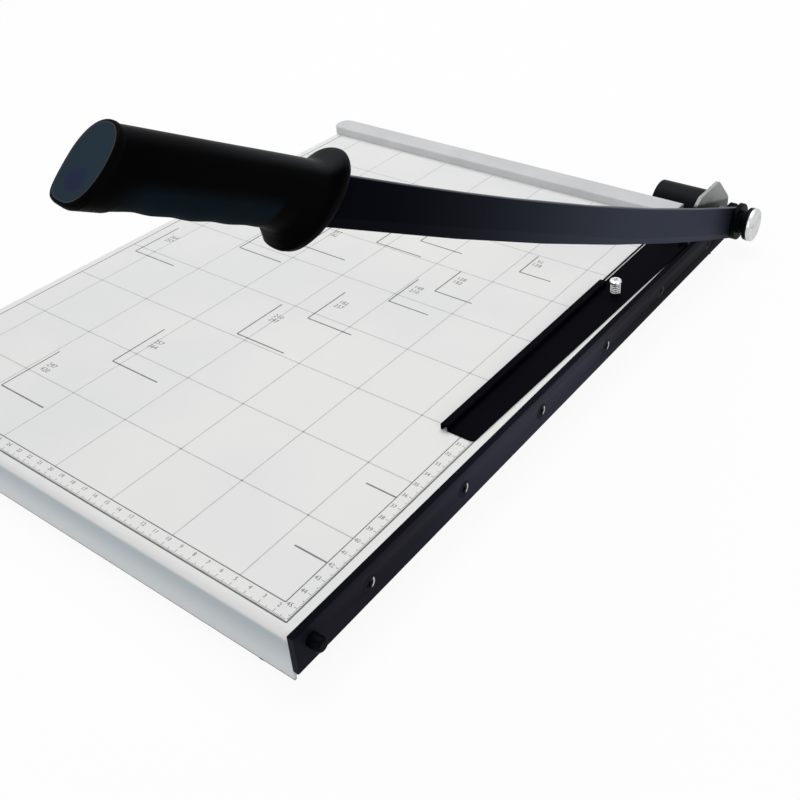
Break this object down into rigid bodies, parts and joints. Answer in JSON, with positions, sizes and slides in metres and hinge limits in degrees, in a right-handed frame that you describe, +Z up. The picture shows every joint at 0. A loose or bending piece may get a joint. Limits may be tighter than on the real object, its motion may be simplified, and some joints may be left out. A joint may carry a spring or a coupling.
{
  "type": "guillotine paper cutter",
  "caption": "Desk guillotine paper cutter: steel bed with a printed grid, fixed side blade, bowed lever blade on a sprung pivot, back ruler and sprung paper clamp.",
  "frame": {"origin": "on the table, under the middle of the assembly's bounding box", "axes": "+Z up; +Y from the front edge with the handle to the pivot behind the bed; +X from the bed to the blade side"},
  "size_m": [0.4056, 0.5888, 0.3049],
  "materials": {
    "bed_enamel": "pale grey stoved enamel",
    "hidden_steel": "plain steel",
    "rubber": "moulded black rubber",
    "zinc_steel": "bright zinc plating",
    "black_steel": "black oxide and paint",
    "dark_screws": "black oxide",
    "ruler_plastic": "moulded grey, satin",
    "bracket_steel": "grey enamel",
    "bright_steel": "turned and polished",
    "spring_steel": "spring steel",
    "black_plastic": "moulded black, fine grain",
    "cap_plastic": "moulded black, smoother",
    "brass": "turned",
    "arm_enamel": "black enamel, satin",
    "clamp_steel": "black enamel"
  },
  "bodies": {
    "base": {"back_ruler": "ruler_plastic", "base_tray": "bed_enamel", "bed_rib_back": "hidden_steel", "bed_rib_front": "hidden_steel", "bracket_nuts": "zinc_steel", "bracket_screws": "dark_screws", "clamp_hinge_bracket": "black_steel", "clamp_hinge_pin": "dark_screws", "clamp_hinge_screw": "dark_screws", "clamp_nuts": "zinc_steel", "clamp_screw": "bright_steel", "clamp_spring": "spring_steel", "disc_springs": "black_steel", "fixed_blade": "black_steel", "fixed_blade_screws": "dark_screws", "foot_back_left": "rubber", "foot_back_right": "rubber", "foot_front_left": "rubber", "foot_front_right": "rubber", "foot_nuts": "zinc_steel", "foot_screws": "zinc_steel", "friction_washer": "black_plastic", "pivot_bolt": "bright_steel", "pivot_bracket": "bracket_steel", "pivot_nut": "zinc_steel", "pivot_spacer": "hidden_steel", "pivot_spring": "spring_steel", "pivot_washer": "black_steel", "ruler_screws": "zinc_steel", "side_rail": "hidden_steel", "spring_housing": "black_plastic", "spring_seat": "zinc_steel", "stop_stud": "black_steel"},
    "arm": {"blade_arm": "arm_enamel", "arm_boss": "black_steel", "arm_bush": "brass", "handle_grip": "black_plastic", "handle_end_cap": "cap_plastic", "handle_screws": "zinc_steel"},
    "clamp": {"clamp_bar": "clamp_steel"}
  },
  "joints": [
    {"name": "arm_swing", "type": "hinge", "parent": "base", "child": "arm", "pos_m": [0.18315, 0.27543, 0.024], "axis": [-1, 0, 0], "range_deg": [-23.17, 45]},
    {"name": "clamp_lift", "type": "hinge", "parent": "base", "child": "clamp", "pos_m": [0.16615, 0.21143, 0.0425], "axis": [-1, 0, 0], "range_deg": [0, 2.5], "stiffness_Nm_per_rad": 4.3, "springref_deg": -5.73, "deforming": ["clamp_spring"]}
  ]
}
